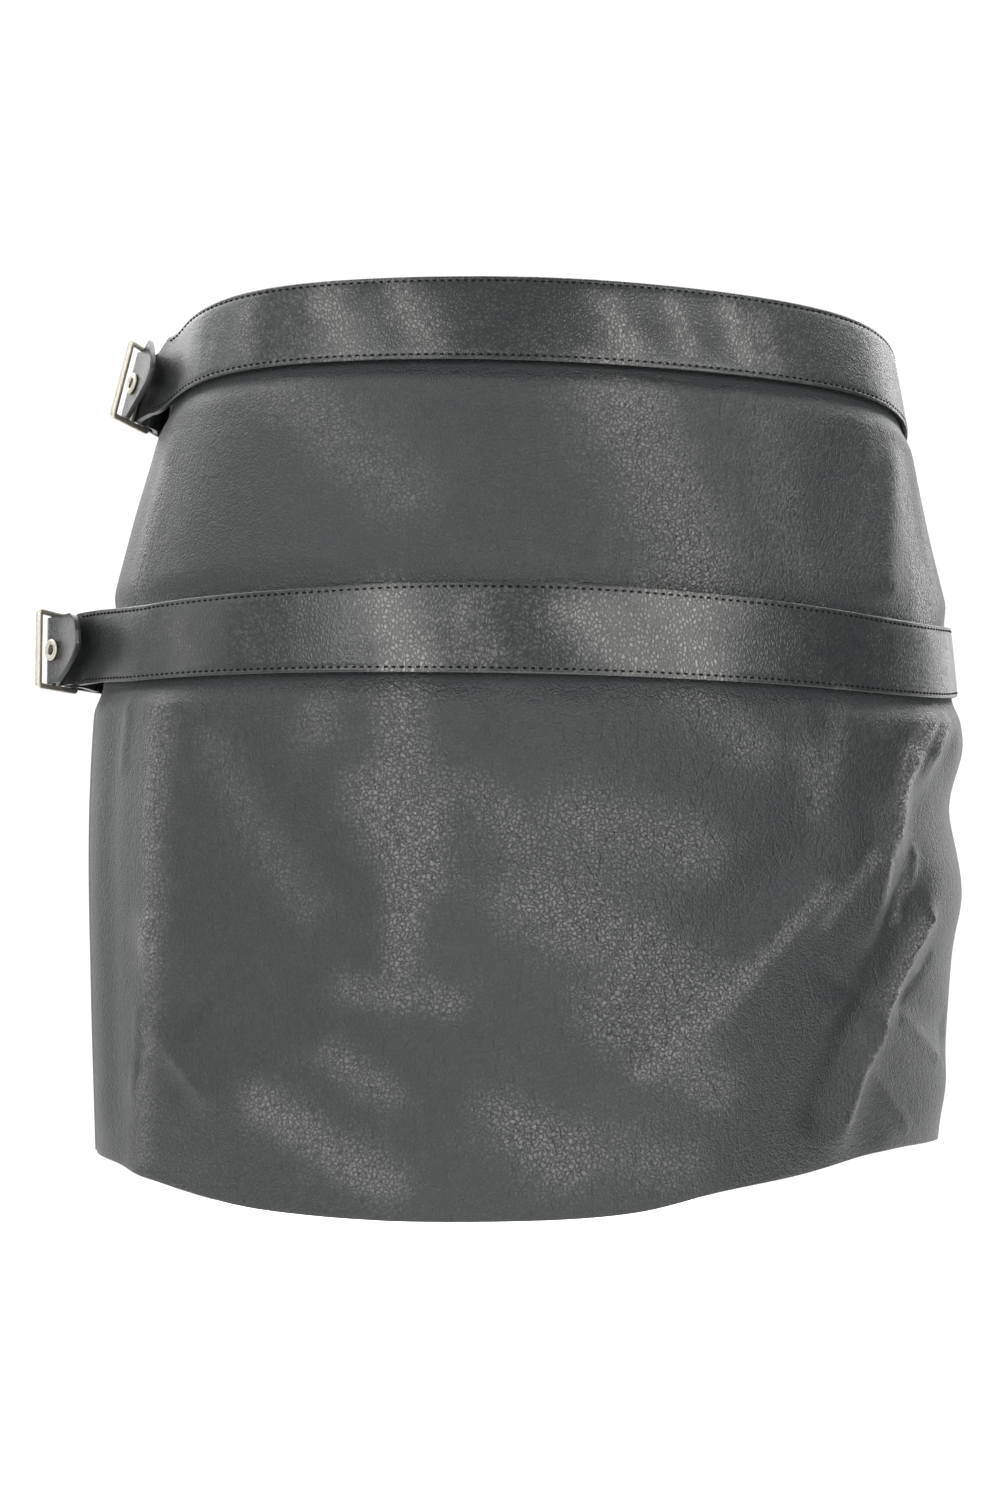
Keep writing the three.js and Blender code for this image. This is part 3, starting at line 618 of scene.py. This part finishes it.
def stitches(name, places):
    """One stitch, modelled once and copied to every place, joined into one piece."""
    bpy.ops.object.select_all(action="DESELECT")
    bpy.ops.mesh.primitive_uv_sphere_add(segments=6, ring_count=4, radius=0.5)
    first = named(name)
    size = (STITCH_LENGTH * MM, STITCH_WIDTH * MM, STITCH_WIDTH * 0.7 * MM)
    first.data.transform(Matrix.Diagonal((*size, 1)))
    pattern = first.data.copy()
    first.data.transform(places[0])
    copies = [first]
    for place in places[1:]:
        mesh = pattern.copy()
        mesh.transform(place)
        copy = bpy.data.objects.new(name + "_copy", mesh)
        bpy.context.collection.objects.link(copy)
        copies.append(copy)
    bpy.ops.object.select_all(action="DESELECT")
    for copy in copies:
        copy.select_set(True)
    bpy.context.view_layer.objects.active = first
    bpy.ops.object.join()
    bpy.data.meshes.remove(pattern)
    shade(first, 180)
    return first


# Metal


def select_by(kind):
    """Edit mode then picks whole faces or edges."""
    bpy.context.tool_settings.mesh_select_mode = (False, kind == "EDGE", kind == "FACE")


def cut_across(place, direction):
    """Cuts all of a mesh along one plane, in edit mode."""
    bpy.ops.mesh.select_all(action="SELECT")
    bpy.ops.mesh.bisect(plane_co=place, plane_no=direction)


def buckle(name, belt):
    """A three-bar frame: a flat block cut along its bars, opened at both windows, rounded."""
    bpy.ops.object.select_all(action="DESELECT")
    bpy.ops.mesh.primitive_cube_add(size=1)
    obj = named(name)
    obj.data.transform(Matrix.Diagonal((FRAME_LENGTH * MM, FRAME_HEIGHT * MM, BAR * MM, 1)))
    alone(obj)
    select_by("FACE")
    bpy.ops.object.mode_set(mode="EDIT")
    for x in (-FRAME_LENGTH / 2 + BAR, -BAR / 2, BAR / 2, FRAME_LENGTH / 2 - BAR):
        cut_across((x * MM, 0, 0), (1, 0, 0))
    for y in (-FRAME_HEIGHT / 2 + BAR, FRAME_HEIGHT / 2 - BAR):
        cut_across((0, y * MM, 0), (0, 1, 0))
    for side in (-1, 1):
        bpy.ops.mesh.select_all(action="DESELECT")
        bpy.ops.object.mode_set(mode="OBJECT")
        for face in obj.data.polygons:
            middle = face.center / MM
            inside = BAR / 2 < side * middle.x < FRAME_LENGTH / 2 - BAR and abs(middle.y) < 5
            face.select = inside and abs(face.normal.z) > 0.5
        bpy.ops.object.mode_set(mode="EDIT")
        bpy.ops.mesh.bridge_edge_loops()
    select_by("EDGE")
    bpy.ops.mesh.select_all(action="DESELECT")
    bpy.ops.object.mode_set(mode="OBJECT")
    for edge in obj.data.edges:
        a, b = (obj.data.vertices[i].co / MM for i in edge.vertices)
        at_corner = all(
            abs(abs(p.x) - FRAME_LENGTH / 2) < 0.1 and abs(abs(p.y) - FRAME_HEIGHT / 2) < 0.1
            for p in (a, b)
        )
        edge.select = at_corner and abs(a.z - b.z) > 1
    bpy.ops.object.mode_set(mode="EDIT")
    bpy.ops.mesh.bevel(offset=BAR * 0.9 * MM, segments=5, clamp_overlap=False)
    bpy.ops.object.mode_set(mode="OBJECT")
    modify(
        obj, "BEVEL", width=BAR * 0.38 * MM, segments=4, limit_method="ANGLE",
        angle_limit=np.radians(50), use_clamp_overlap=True,
    )
    along, up, middle = buckle_axes(belt)
    normal = np.cross(along, up)
    axes = np.stack([along, up, normal], 1)
    place = Matrix([[*axes[i], middle[i] * MM] for i in range(3)] + [[0, 0, 0, 1]])
    obj.data.transform(place)
    shade(obj, 35)
    return obj


def eyelet_place(belt):
    _, up, middle = buckle_axes(belt)
    heading = square_to(up, plan(belt["strap_heading"]))
    outward = -np.cross(heading, up)
    flare = belt["flare"] * (EYELET_FROM_BAR / belt["tip"]) ** 2
    slope = 2 * belt["flare"] * EYELET_FROM_BAR / belt["tip"] ** 2
    facing = unit(outward + heading * slope)
    middle = middle + outward * (AROUND_BAR + flare) - heading * EYELET_FROM_BAR + facing * STRAP
    across = unit(np.cross(up, facing))
    axes = np.stack([across, np.cross(facing, across), facing], 1)
    return Matrix([[*axes[i], middle[i] * MM] for i in range(3)] + [[0, 0, 0, 1]])


def eyelet(name, belt):
    """A rolled ring on the tab with its barrel down through the hole."""
    bpy.ops.object.select_all(action="DESELECT")
    ring = (EYELET_RADIUS + EYELET_HOLE) / 2
    bpy.ops.mesh.primitive_torus_add(
        major_radius=ring * MM, minor_radius=(EYELET_RADIUS - ring) * MM,
        major_segments=40, minor_segments=14,
    )
    roll = named(name)
    roll.data.transform(Matrix.Translation((0, 0, 0.65 * MM)) @ Matrix.Diagonal((1, 1, 0.62, 1)))
    bpy.ops.object.select_all(action="DESELECT")
    bpy.ops.mesh.primitive_cylinder_add(
        vertices=40, radius=(EYELET_HOLE + 0.35) * MM, depth=STRAP * MM, end_fill_type="NOTHING",
    )
    barrel = named(name + "_barrel")
    barrel.data.transform(Matrix.Translation((0, 0, -STRAP / 2 * MM + 0.3 * MM)))
    modify(barrel, "SOLIDIFY", thickness=0.35 * MM, offset=0)
    alone(roll)
    barrel.select_set(True)
    bpy.ops.object.join()
    roll.data.transform(eyelet_place(belt))
    shade(roll, 60)
    return roll


def punch(obj, belt):
    """The tab's hole under its eyelet."""
    bpy.ops.object.select_all(action="DESELECT")
    bpy.ops.mesh.primitive_cylinder_add(vertices=32, radius=EYELET_BARREL * MM, depth=3 * STRAP * MM)
    cutter = named("punch")
    cutter.data.transform(eyelet_place(belt) @ Matrix.Translation((0, 0, -STRAP / 2 * MM)))
    modify(obj, "BOOLEAN", operation="DIFFERENCE", solver="EXACT", use_self=True, object=cutter)
    bpy.data.objects.remove(cutter)
    shade(obj)


# Materials


class Value:
    """A node's output that takes part in sums, written as in Python."""

    def __init__(self, finish, socket):
        self.finish = finish
        self.socket = socket

    def maths(self, operation, first, second=None):
        values = [first] if second is None else [first, second]
        return self.finish.node("ShaderNodeMath", {"operation": operation}, *values)

    def __add__(self, other):
        return self.maths("ADD", self, other)

    def __radd__(self, other):
        return self.maths("ADD", other, self)

    def __sub__(self, other):
        return self.maths("SUBTRACT", self, other)

    def __rsub__(self, other):
        return self.maths("SUBTRACT", other, self)

    def __mul__(self, other):
        return self.maths("MULTIPLY", self, other)

    def __rmul__(self, other):
        return self.maths("MULTIPLY", other, self)

    def between(self, low, high):
        """0 below low, 1 above high and smooth in between."""
        settings = {"interpolation_type": "SMOOTHSTEP"}
        return self.finish.node("ShaderNodeMapRange", settings, self, low, high, 0.0, 1.0)


class Finish:
    """A material whose nodes are written as expressions."""

    def __init__(self, name):
        self.material = bpy.data.materials.new(name)
        self.material.use_nodes = True
        self.tree = self.material.node_tree
        self.shader = self.tree.nodes["Principled BSDF"]

    def link(self, socket, value):
        if isinstance(value, Value):
            self.tree.links.new(value.socket, socket)
        elif value is not None:
            socket.default_value = value

    def node(self, kind, settings, *values, output=0):
        node = self.tree.nodes.new(kind)
        for key, value in settings.items():
            setattr(node, key, value)
        enabled = [socket for socket in node.inputs if socket.enabled]
        for socket, value in zip(enabled, values):
            self.link(socket, value)
        outputs = [socket for socket in node.outputs if socket.enabled]
        return Value(self, outputs[output])

    def place(self, scale=(1, 1, 1)):
        """Object coordinates in millimetres, stretched by a scale."""
        coordinates = self.node("ShaderNodeTexCoord", {}, output=3)
        return self.node(
            "ShaderNodeMapping", {}, coordinates, (0, 0, 0), (0, 0, 0), [s / MM for s in scale]
        )

    def noise(self, place, scale, detail=2.0, roughness=0.5, distortion=0.0):
        return self.node(
            "ShaderNodeTexNoise", {"noise_dimensions": "3D"},
            place, scale, detail, roughness, 2.0, distortion,
        )

    def kept(self, name):
        """A value kept on the piece's own points."""
        return self.node("ShaderNodeAttribute", {"attribute_name": name}, output=2)

    def cells(self, place, scale, feature="F1"):
        return self.node("ShaderNodeTexVoronoi", {"feature": feature}, place, scale)

    def moved(self, place, by, amount):
        """Coordinates moved about by a noise's colour."""
        scatter = self.node("ShaderNodeTexNoise", {}, place, by, 2.0, output=1)
        offset = self.node("ShaderNodeVectorMath", {"operation": "SUBTRACT"}, scatter, (0.5,) * 3)
        larger = self.node("ShaderNodeVectorMath", {"operation": "MULTIPLY"}, offset, (amount,) * 3)
        return self.node("ShaderNodeVectorMath", {"operation": "ADD"}, place, larger)

    def colours(self, share, first, second):
        """From the first colour to the second, by a share."""
        settings = {"data_type": "RGBA", "blend_type": "MIX"}
        return self.node("ShaderNodeMix", settings, share, (*first, 1), (*second, 1))

    def finish(self, colour, roughness, height=None, depth=0.0, strength=1.0, **fixed):
        """Links what varies to the shader and sets what is the same all over on it."""
        self.link(self.shader.inputs["Base Color"], colour)
        self.link(self.shader.inputs["Roughness"], roughness)
        if height is not None:
            bump = self.node("ShaderNodeBump", {}, strength, depth * MM)
            self.link(bump.socket.node.inputs["Height"], height)
            self.link(self.shader.inputs["Normal"], bump)
        for key, value in fixed.items():
            self.shader.inputs[key.replace("_", " ")].default_value = value
        return self.material


def panel_leather():
    """Pebbled leather: small raised grains, with painted highlights that make them paler and crisper in
    patches, and painted shadow.
    """
    leather = Finish("panel_leather")
    place = leather.place()
    sheen_and_shadow = leather.kept("sheen_and_shadow")
    ragged = sheen_and_shadow + (leather.noise(place, 0.11, 3.0) - 0.5) * 0.45
    sheen_mask = ragged.between(-0.05, 0.95)
    shadow = sheen_and_shadow.between(0.0, -0.8)
    uneven = leather.moved(place, 0.4, 1.6)
    grain = leather.cells(uneven, 0.66, "DISTANCE_TO_EDGE").between(0.0, 0.36)
    fine = leather.cells(leather.moved(place, 1.0, 0.8), 1.0, "DISTANCE_TO_EDGE").between(0.0, 0.4)
    tall = leather.moved(leather.place((1, 1, 0.6)), 0.18, 4.0)
    crackle = leather.cells(tall, 0.2, "DISTANCE_TO_EDGE").between(0.0, 0.1)
    soft = leather.noise(place, 0.05, 3.0)
    pebbles = grain * 0.6 + fine * 0.4
    relief = pebbles * (sheen_mask * 0.6 + 0.5) + crackle * (sheen_mask * 0.5 + 0.2) + soft * 0.8
    # Painted highlight on the grain tops in the sheen patches, and painted shadow that darkens them
    # under the belts.
    highlight_share = pebbles * (sheen_mask * 0.96 + 0.04) * (1 - shadow)
    colour = leather.colours(highlight_share, (0.0062, 0.0084, 0.0092), (0.16, 0.162, 0.154))
    roughness = 0.5 - sheen_mask * 0.1 - pebbles * 0.04 + shadow * 0.3
    return leather.finish(colour, roughness, relief, depth=0.5, strength=1.0, Specular_IOR_Level=0.5)


def belt_leather():
    """Smoother, slightly glossier leather with fine upright grain, its grain tops painted paler as
    highlights in patches.
    """
    leather = Finish("belt_leather")
    place = leather.place()
    sheen_and_shadow = leather.kept("sheen_and_shadow")
    ragged = sheen_and_shadow + (leather.noise(place, 0.14, 3.0) - 0.5) * 0.4
    sheen_mask = ragged.between(-0.05, 0.95)
    upright = leather.moved(leather.place((1, 1, 0.7)), 0.5, 1.4)
    grain = leather.cells(upright, 0.8, "DISTANCE_TO_EDGE").between(0.0, 0.4)
    soft = leather.noise(place, 0.08, 3.0)
    relief = grain * (sheen_mask * 0.7 + 0.2) + soft * 0.7
    # Painted highlight: the grain tops are painted paler in the sheen patches.
    highlight_share = (grain * 0.8 + 0.2) * (sheen_mask * 0.95 + 0.05)
    colour = leather.colours(highlight_share, (0.0062, 0.0084, 0.009), (0.2, 0.197, 0.182))
    roughness = 0.36 + sheen_mask * 0.05 + grain * 0.03
    return leather.finish(colour, roughness, relief, depth=0.3, strength=0.9, Specular_IOR_Level=0.5)


def inner_leather():
    """The leather's napped underside."""
    leather = Finish("inner_leather")
    place = leather.place()
    nap = leather.noise(place, 1.6, 4.0, 0.7)
    tone = leather.noise(place, 0.05, 3.0)
    colour = leather.colours(tone, (0.022, 0.022, 0.023), (0.04, 0.04, 0.041))
    return leather.finish(colour, 0.86 + nap * 0.06, nap, depth=0.15, strength=0.5)


def nickel():
    """Warm polished nickel with faint rubbing marks."""
    metal = Finish("nickel")
    place = metal.place()
    rubbed = metal.noise(metal.place((1, 1, 0.15)), 1.3, 4.0, 0.7)
    cloudy = metal.noise(place, 0.35, 2.0)
    colour = metal.colours(cloudy, (0.44, 0.41, 0.355), (0.56, 0.53, 0.47))
    roughness = 0.46 + rubbed * 0.16
    return metal.finish(colour, roughness, rubbed, depth=0.03, strength=0.4, Metallic=1.0)


def thread():
    """Black waxed thread, twisted."""
    yarn = Finish("thread")
    place = yarn.place()
    twist = yarn.noise(place, 4.0, 2.0)
    colour = yarn.colours(twist, (0.001, 0.001, 0.0012), (0.004, 0.004, 0.005))
    return yarn.finish(
        colour, 0.8 + twist * 0.1, twist, depth=0.06, strength=0.5, Specular_IOR_Level=0.15
    )


def dress(obj, material, inside=None):
    """Gives a piece its finish, and the faces towards the wearer another one."""
    obj.data.materials.clear()
    obj.data.materials.append(material)
    if inside is not None:
        obj.data.materials.append(inside)
        inner = [face.normal.xy.dot(face.center.xy) < 0 for face in obj.data.polygons]
        obj.data.polygons.foreach_set("material_index", np.array(inner, np.int32))


# Camera, stage and light

CAMERA_AT = Vector((-56.3, -561.4, -203.3)) * MM
CAMERA_FORWARD = Vector((0.0754, 0.9948, 0.0680)).normalized()
CAMERA_RIGHT = Vector((0.997, -0.0764, 0.0129))
FOCAL = 1315.88
PHOTO_HEIGHT = 1500
ROOM = 0.26
BACKDROP = 1.08
FLOOR = 5.6
FLOOR_HEIGHT = -1.1
AIM = Vector((0, 0, -0.16))

camera_data = bpy.data.cameras.new("camera")
camera = bpy.data.objects.new("camera", camera_data)
bpy.context.collection.objects.link(camera)
right = (CAMERA_RIGHT - CAMERA_FORWARD * CAMERA_RIGHT.dot(CAMERA_FORWARD)).normalized()
upright = right.cross(CAMERA_FORWARD)
camera.matrix_world = Matrix([
    [right[i], upright[i], -CAMERA_FORWARD[i], CAMERA_AT[i]] for i in range(3)
] + [[0, 0, 0, 1]])
camera_data.sensor_fit = "VERTICAL"
camera_data.sensor_height = 36
camera_data.lens = 36 * FOCAL / PHOTO_HEIGHT
camera_data.clip_start = 0.02
bpy.context.scene.camera = camera
bpy.context.scene.view_settings.view_transform = "Standard"

bpy.ops.object.select_all(action="DESELECT")
bpy.ops.mesh.primitive_plane_add(size=FLOOR, location=(0, 0, FLOOR_HEIGHT))
floor = named("floor")
floor_finish = Finish("floor_paper")
floor_tone = floor_finish.noise(floor_finish.place(), 0.002, 2.0)
floor_colour = floor_finish.colours(floor_tone, (0.92, 0.92, 0.91), (0.94, 0.94, 0.93))
dress(floor, floor_finish.finish(floor_colour, 0.8))

world = bpy.data.worlds.new("studio")
bpy.context.scene.world = world
world.use_nodes = True
# A white backdrop behind the skirt fades to a dimmer room in front of it.
sky = world.node_tree
direction = sky.nodes.new("ShaderNodeTexCoord")
parts = sky.nodes.new("ShaderNodeSeparateXYZ")
fade = sky.nodes.new("ShaderNodeMapRange")
fade.interpolation_type = "SMOOTHSTEP"
for socket, value in zip(("From Min", "From Max", "To Min", "To Max"), (0.3, 0.78, ROOM, BACKDROP)):
    fade.inputs[socket].default_value = value
sky.links.new(direction.outputs["Generated"], parts.inputs["Vector"])
sky.links.new(parts.outputs["Y"], fade.inputs["Value"])
sky.links.new(fade.outputs["Result"], sky.nodes["Background"].inputs["Strength"])
sky.nodes["Background"].inputs["Color"].default_value = (1, 1, 1, 1)


def softbox(name, bearing, distance, height, width, tall, power):
    """A soft lamp at a bearing round the skirt, 90 being the front, aimed at its middle."""
    data = bpy.data.lights.new(name, "AREA")
    data.shape = "RECTANGLE"
    data.size = width
    data.size_y = tall
    data.energy = power
    lamp = bpy.data.objects.new(name, data)
    bpy.context.collection.objects.link(lamp)
    way = np.radians(bearing)
    place = Vector((distance * np.cos(way), -distance * np.sin(way), height))
    lamp.location = place
    lamp.rotation_euler = (AIM - place).to_track_quat("-Z", "Y").to_euler()


# Name, bearing, distance, height, width, tall and power.
for lamp in (
    ("front_left", 122, 1.7, 0.5, 0.35, 1.3, 19),
    ("front_right", 62, 1.7, 0.5, 0.45, 1.3, 21),
    ("front_low", 84, 1.5, -0.85, 0.6, 0.35, 7),
    ("left", 171, 1.6, 0.2, 0.25, 1.8, 8),
    ("right", -28, 1.6, 0.2, 0.3, 1.8, 11),
    ("back_left", 215, 1.8, 0.4, 0.5, 1.8, 9),
):
    softbox(*lamp)

# One lamp over the floor behind the skirt keeps it as pale as the backdrop.
glow_data = bpy.data.lights.new("floor_glow", "AREA")
glow_data.size = 4
glow_data.energy = 260
glow = bpy.data.objects.new("floor_glow", glow_data)
glow.location = (0, 1.9, 1.5)
bpy.context.collection.objects.link(glow)

# The skirt

panel_finish = panel_leather()
belt_finish = belt_leather()
inner_finish = inner_leather()
metal_finish = nickel()
thread_finish = thread()

front = panel("front_leather", RIGHT_SEAM, LEFT_SEAM, FRONT_COLUMNS)
back = panel("back_leather", LEFT_SEAM, RIGHT_SEAM + 360, BACK_COLUMNS)
# Each panel's cut: its width at the hips, its length, and its area, which the waist makes less.
for obj, node, flat, area in (
    (front, "front_panel", (0.452, 0.333), 0.142),
    (back, "back_panel", (0.528, 0.333), 0.167),
):
    dress(obj, panel_finish, inner_finish)
    # Painted sheen, and the painted shadow under the belts, kept on each panel's points.
    keep_painted_light(obj, True)
    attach(obj, "root")
    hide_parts(node)

for kind, belt in BELTS.items():
    front_angles = np.arange(RIGHT_SEAM, belt["leaves"], 1.0)
    front_angles = np.append(front_angles, belt["leaves"])
    front_angles[0] += SEAM_HALF_GAP / DEGREE_OF_SEAM
    end = front_strap_end(belt)
    faces, throughs = whole_strap(strap_on_body(belt, front_angles), end)
    front_strap = show_strap(kind + "_strap_front", faces, False)
    punch(front_strap, belt)
    # Painted sheen kept on the strap's points.
    keep_painted_light(front_strap, False)
    front_stitches = stitches(
        kind + "_stitches_front", stitch_places(faces, throughs, len(front_angles) + FRONT_FREE_STEPS)
    )

    back_angles = np.arange(RIGHT_SEAM + 360, belt["arrives"], -1.0)
    back_angles = np.append(back_angles, belt["arrives"])
    back_angles[0] -= SEAM_HALF_GAP / DEGREE_OF_SEAM
    end = back_strap_end(belt)
    faces, throughs = whole_strap(strap_on_body(belt, back_angles), end)
    back_strap = show_strap(kind + "_strap_back", faces, True)
    # Painted sheen kept on the strap's points.
    keep_painted_light(back_strap, False)
    back_stitches = stitches(
        kind + "_stitches_back", stitch_places(faces, throughs, len(back_angles) + BACK_FREE_STEPS)
    )

    metal_frame = buckle(kind + "_buckle_frame", belt)
    ring = eyelet(kind + "_eyelet_ring", belt)
    for obj, node, finish, slot in (
        (front_strap, kind + "_belt_front", belt_finish, "belt_leather"),
        (back_strap, kind + "_belt_back", belt_finish, "belt_leather"),
        (metal_frame, kind + "_buckle", metal_finish, "nickel"),
        (ring, kind + "_eyelet", metal_finish, "nickel"),
    ):
        dress(obj, finish)
        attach(obj, "root")
        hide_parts(node)
    for obj in (front_stitches, back_stitches):
        dress(obj, thread_finish)
        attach(obj, "root")
